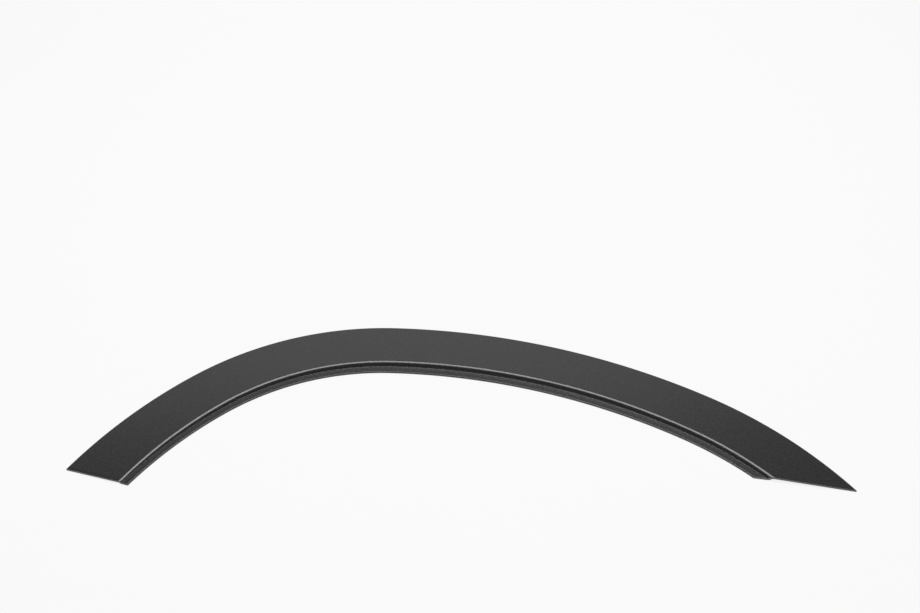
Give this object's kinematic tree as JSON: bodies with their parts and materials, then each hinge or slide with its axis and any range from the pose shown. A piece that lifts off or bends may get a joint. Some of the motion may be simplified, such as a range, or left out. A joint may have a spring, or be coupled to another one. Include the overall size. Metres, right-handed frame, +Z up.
{
  "type": "wheel arch trim",
  "caption": "Curved strip of formed black sheet that covers the edge of a car's wheel arch, with a rounded bead line, a stepped return lip, a blunt front end and a pointed rear end.",
  "frame": {"origin": "On the surface the trim lies on, under the middle of its bounding box, with the trim lying face up on its outer edge and lip edge.", "axes": "+X runs along the chord from the blunt front end to the pointed rear end, +Y from the chord toward the crown of the arch, and +Z up, out of the visible face."},
  "size_m": [0.7018, 0.1994, 0.0061],
  "materials": {
    "black_sheet": "satin, very fine grain"
  },
  "bodies": {
    "root": {"wheel_arch_trim": "black_sheet"}
  },
  "joints": []
}
